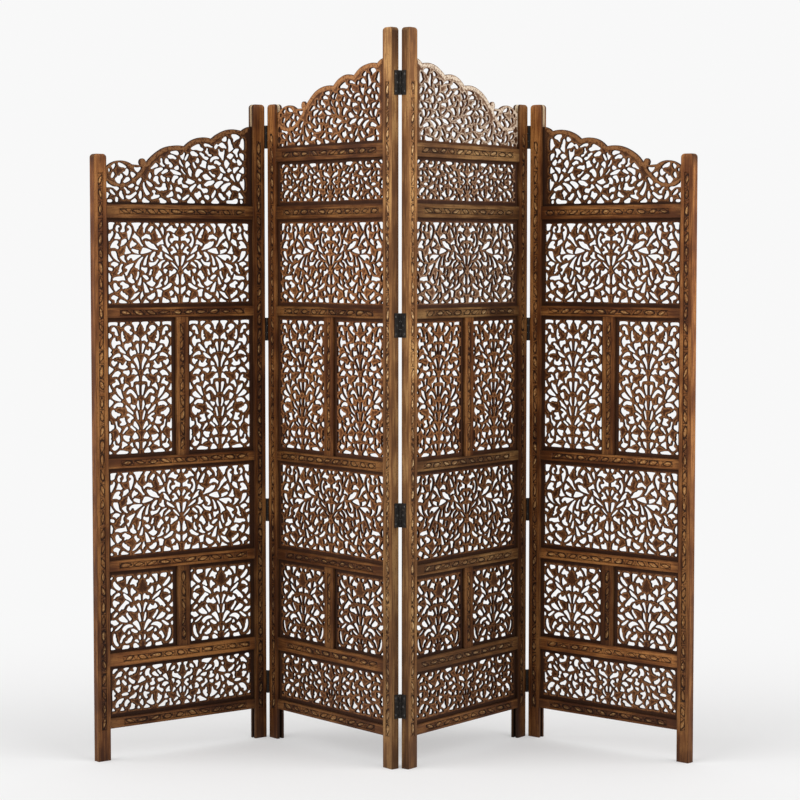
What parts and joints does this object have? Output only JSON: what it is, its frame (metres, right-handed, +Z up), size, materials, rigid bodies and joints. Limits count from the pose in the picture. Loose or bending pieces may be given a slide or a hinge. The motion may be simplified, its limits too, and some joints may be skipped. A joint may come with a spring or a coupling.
{
  "type": "folding screen",
  "caption": "Tall wooden folding screen of hinged leaves, each a frame of stiles and rails around pierced foliate jali panels, with a scalloped crest that rises to the centre.",
  "frame": {"origin": "on the floor under the middle of the screen, at the centre of its plan", "axes": "+Z up, +X to the right across the front, +Y away from the viewer, from the front to the back"},
  "size_m": [1.51, 0.4182, 1.83],
  "materials": {
    "frame_wood": "stained, worn and waxed",
    "panel_wood": "stained and waxed, dark in the recesses",
    "black_iron": "black lacquer"
  },
  "bodies": {
    "left_outer_leaf": {"left_outer_low_stile": "frame_wood", "left_outer_high_stile": "frame_wood", "left_outer_bottom_rail": "frame_wood", "left_outer_cross_rails": "frame_wood", "left_outer_crest_rail": "frame_wood", "left_outer_muntins": "frame_wood", "left_outer_base_panel": "panel_wood", "left_outer_short_panels": "panel_wood", "left_outer_lower_panel": "panel_wood", "left_outer_tall_panels": "panel_wood", "left_outer_upper_panel": "panel_wood", "left_outer_crest_panel": "panel_wood", "left_fold_sleeve_hinges": "black_iron"},
    "left_inner_leaf": {"left_inner_low_stile": "frame_wood", "left_inner_high_stile": "frame_wood", "left_inner_bottom_rail": "frame_wood", "left_inner_cross_rails": "frame_wood", "left_inner_crest_rail": "frame_wood", "left_inner_muntins": "frame_wood", "left_inner_base_panel": "panel_wood", "left_inner_short_panels": "panel_wood", "left_inner_lower_panel": "panel_wood", "left_inner_tall_panels": "panel_wood", "left_inner_upper_panel": "panel_wood", "left_inner_crest_panel": "panel_wood", "left_inner_frieze_panel": "panel_wood", "left_fold_pin_hinges": "black_iron", "centre_fold_pin_hinges": "black_iron"},
    "right_inner_leaf": {"right_inner_low_stile": "frame_wood", "right_inner_high_stile": "frame_wood", "right_inner_bottom_rail": "frame_wood", "right_inner_cross_rails": "frame_wood", "right_inner_crest_rail": "frame_wood", "right_inner_muntins": "frame_wood", "right_inner_base_panel": "panel_wood", "right_inner_short_panels": "panel_wood", "right_inner_lower_panel": "panel_wood", "right_inner_tall_panels": "panel_wood", "right_inner_upper_panel": "panel_wood", "right_inner_crest_panel": "panel_wood", "right_inner_frieze_panel": "panel_wood", "centre_fold_sleeve_hinges": "black_iron", "right_fold_pin_hinges": "black_iron"},
    "right_outer_leaf": {"right_outer_low_stile": "frame_wood", "right_outer_high_stile": "frame_wood", "right_outer_bottom_rail": "frame_wood", "right_outer_cross_rails": "frame_wood", "right_outer_crest_rail": "frame_wood", "right_outer_muntins": "frame_wood", "right_outer_base_panel": "panel_wood", "right_outer_short_panels": "panel_wood", "right_outer_lower_panel": "panel_wood", "right_outer_tall_panels": "panel_wood", "right_outer_upper_panel": "panel_wood", "right_outer_crest_panel": "panel_wood", "right_fold_sleeve_hinges": "black_iron"}
  },
  "joints": [
    {"name": "left_fold", "type": "hinge", "parent": "left_inner_leaf", "child": "left_outer_leaf", "pos_m": [-0.33282, 0.18024, 0.9], "axis": [0, 0, 1], "range_deg": [-87, 93]},
    {"name": "centre_fold", "type": "hinge", "parent": "left_inner_leaf", "child": "right_inner_leaf", "pos_m": [0.0172, -0.19521, 0.9], "axis": [0, 0, 1], "range_deg": [-102, 78]},
    {"name": "right_fold", "type": "hinge", "parent": "right_inner_leaf", "child": "right_outer_leaf", "pos_m": [0.35391, 0.19223, 0.9], "axis": [0, 0, 1], "range_deg": [-87, 93]}
  ]
}
